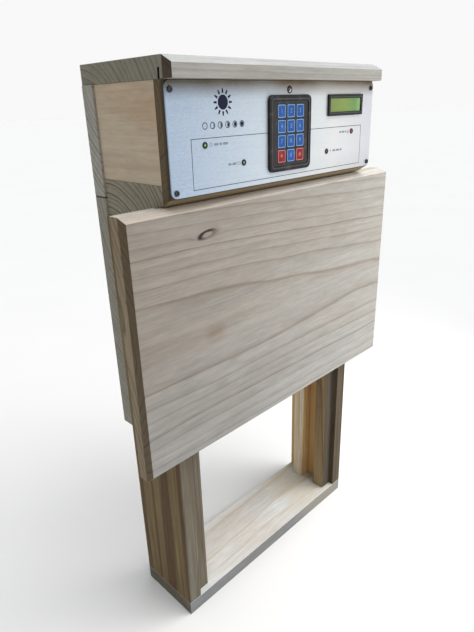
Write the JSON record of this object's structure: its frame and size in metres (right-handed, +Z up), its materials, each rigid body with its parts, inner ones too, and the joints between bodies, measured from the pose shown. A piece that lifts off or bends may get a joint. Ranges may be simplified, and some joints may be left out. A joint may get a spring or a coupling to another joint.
{
  "type": "automatic coop door",
  "caption": "Timber automatic poultry door: a guided panel slides in an open frame, driven by a screw from a control box with keypad, display and face plate.",
  "frame": {"origin": "middle of the footprint, on the ground under the sill", "axes": "+Z up along the stiles, -Y towards the yard side with the cover board and the control panel, +X to the right seen from the yard"},
  "size_m": [0.433, 0.1446, 0.666],
  "materials": {
    "weathered_board": "weathered, grey-tan face grain",
    "frame_timber": "weathered, darker",
    "tan_timber": "sawn, matt",
    "plate_aluminium": "brushed",
    "coupler_aluminium": "machined",
    "dark_steel": "black oxide",
    "bright_steel": "zinc plated",
    "nut_brass": "machined",
    "black_plastic": "moulded",
    "case_plastic": "moulded",
    "motor_can": "satin",
    "key_blue": "satin membrane",
    "key_red": "satin membrane",
    "lcd_green": "glossy",
    "sensor_glass": "glossy",
    "lamp_green": "clear",
    "lamp_clear": "clear",
    "lamp_red": "clear",
    "circuit_green": "solder mask"
  },
  "bodies": {
    "frame": {"sill": "weathered_board", "cover_board": "weathered_board", "lid_board": "weathered_board", "lid_trim": "weathered_board", "left_stile": "frame_timber", "right_stile": "frame_timber", "left_front_guide": "frame_timber", "right_front_guide": "frame_timber", "left_rear_guide": "frame_timber", "right_rear_guide": "frame_timber", "left_cleat": "frame_timber", "right_cleat": "frame_timber", "cover_facing": "frame_timber", "back_board_lower": "frame_timber", "back_board_upper": "frame_timber", "box_floor": "frame_timber", "box_front_board": "frame_timber", "box_side_left": "tan_timber", "box_side_right": "tan_timber", "face_plate": "plate_aluminium", "plate_screw_1": "dark_steel", "plate_screw_2": "dark_steel", "plate_screw_3": "dark_steel", "plate_screw_4": "dark_steel", "gearbox": "bright_steel", "motor_bracket": "bright_steel", "battery_strap": "bright_steel", "keypad_bezel": "black_plastic", "lcd_bezel": "black_plastic", "upper_limit_switch": "black_plastic", "lower_limit_switch": "black_plastic", "power_inlet": "black_plastic", "battery": "case_plastic", "foot_bearing": "case_plastic", "drive_motor": "motor_can", "lcd_window": "lcd_green", "light_sensor": "sensor_glass", "led_timer": "lamp_green", "led_ready": "lamp_clear", "led_power": "lamp_clear", "led_safety": "lamp_red", "circuit_board": "circuit_green"},
    "door": {"door_panel": "tan_timber", "door_bracket": "bright_steel", "drive_nut": "nut_brass"},
    "drive": {"lead_screw": "bright_steel", "shaft_coupler": "coupler_aluminium", "motor_shaft": "bright_steel"},
    "button_1": {"key_1": "key_blue"},
    "button_2": {"key_2": "key_blue"},
    "button_3": {"key_3": "key_blue"},
    "button_4": {"key_4": "key_blue"},
    "button_5": {"key_5": "key_blue"},
    "button_6": {"key_6": "key_blue"},
    "button_7": {"key_7": "key_blue"},
    "button_8": {"key_8": "key_blue"},
    "button_9": {"key_9": "key_blue"},
    "button_star": {"key_star": "key_red"},
    "button_0": {"key_0": "key_blue"},
    "button_hash": {"key_hash": "key_red"}
  },
  "joints": [
    {"name": "door_slide", "type": "slide", "parent": "frame", "child": "door", "axis": [0, 0, -1], "range_m": [0, 0.244]},
    {"name": "screw_turn", "type": "hinge", "parent": "frame", "child": "drive", "pos_m": [0, 0.02925, 0.4], "axis": [0, 0, 1], "range_deg": [0, 10981]},
    {"name": "press_key_1", "type": "slide", "parent": "frame", "child": "button_1", "axis": [0, 1, 0], "range_m": [0, 0.0008], "stiffness_N_per_m": 1500},
    {"name": "press_key_2", "type": "slide", "parent": "frame", "child": "button_2", "axis": [0, 1, 0], "range_m": [0, 0.0008], "stiffness_N_per_m": 1500},
    {"name": "press_key_3", "type": "slide", "parent": "frame", "child": "button_3", "axis": [0, 1, 0], "range_m": [0, 0.0008], "stiffness_N_per_m": 1500},
    {"name": "press_key_4", "type": "slide", "parent": "frame", "child": "button_4", "axis": [0, 1, 0], "range_m": [0, 0.0008], "stiffness_N_per_m": 1500},
    {"name": "press_key_5", "type": "slide", "parent": "frame", "child": "button_5", "axis": [0, 1, 0], "range_m": [0, 0.0008], "stiffness_N_per_m": 1500},
    {"name": "press_key_6", "type": "slide", "parent": "frame", "child": "button_6", "axis": [0, 1, 0], "range_m": [0, 0.0008], "stiffness_N_per_m": 1500},
    {"name": "press_key_7", "type": "slide", "parent": "frame", "child": "button_7", "axis": [0, 1, 0], "range_m": [0, 0.0008], "stiffness_N_per_m": 1500},
    {"name": "press_key_8", "type": "slide", "parent": "frame", "child": "button_8", "axis": [0, 1, 0], "range_m": [0, 0.0008], "stiffness_N_per_m": 1500},
    {"name": "press_key_9", "type": "slide", "parent": "frame", "child": "button_9", "axis": [0, 1, 0], "range_m": [0, 0.0008], "stiffness_N_per_m": 1500},
    {"name": "press_key_star", "type": "slide", "parent": "frame", "child": "button_star", "axis": [0, 1, 0], "range_m": [0, 0.0008], "stiffness_N_per_m": 1500},
    {"name": "press_key_0", "type": "slide", "parent": "frame", "child": "button_0", "axis": [0, 1, 0], "range_m": [0, 0.0008], "stiffness_N_per_m": 1500},
    {"name": "press_key_hash", "type": "slide", "parent": "frame", "child": "button_hash", "axis": [0, 1, 0], "range_m": [0, 0.0008], "stiffness_N_per_m": 1500}
  ],
  "couplings": [
    {"joint": "screw_turn", "follows": "door_slide", "rad_per_m": 785.4}
  ]
}
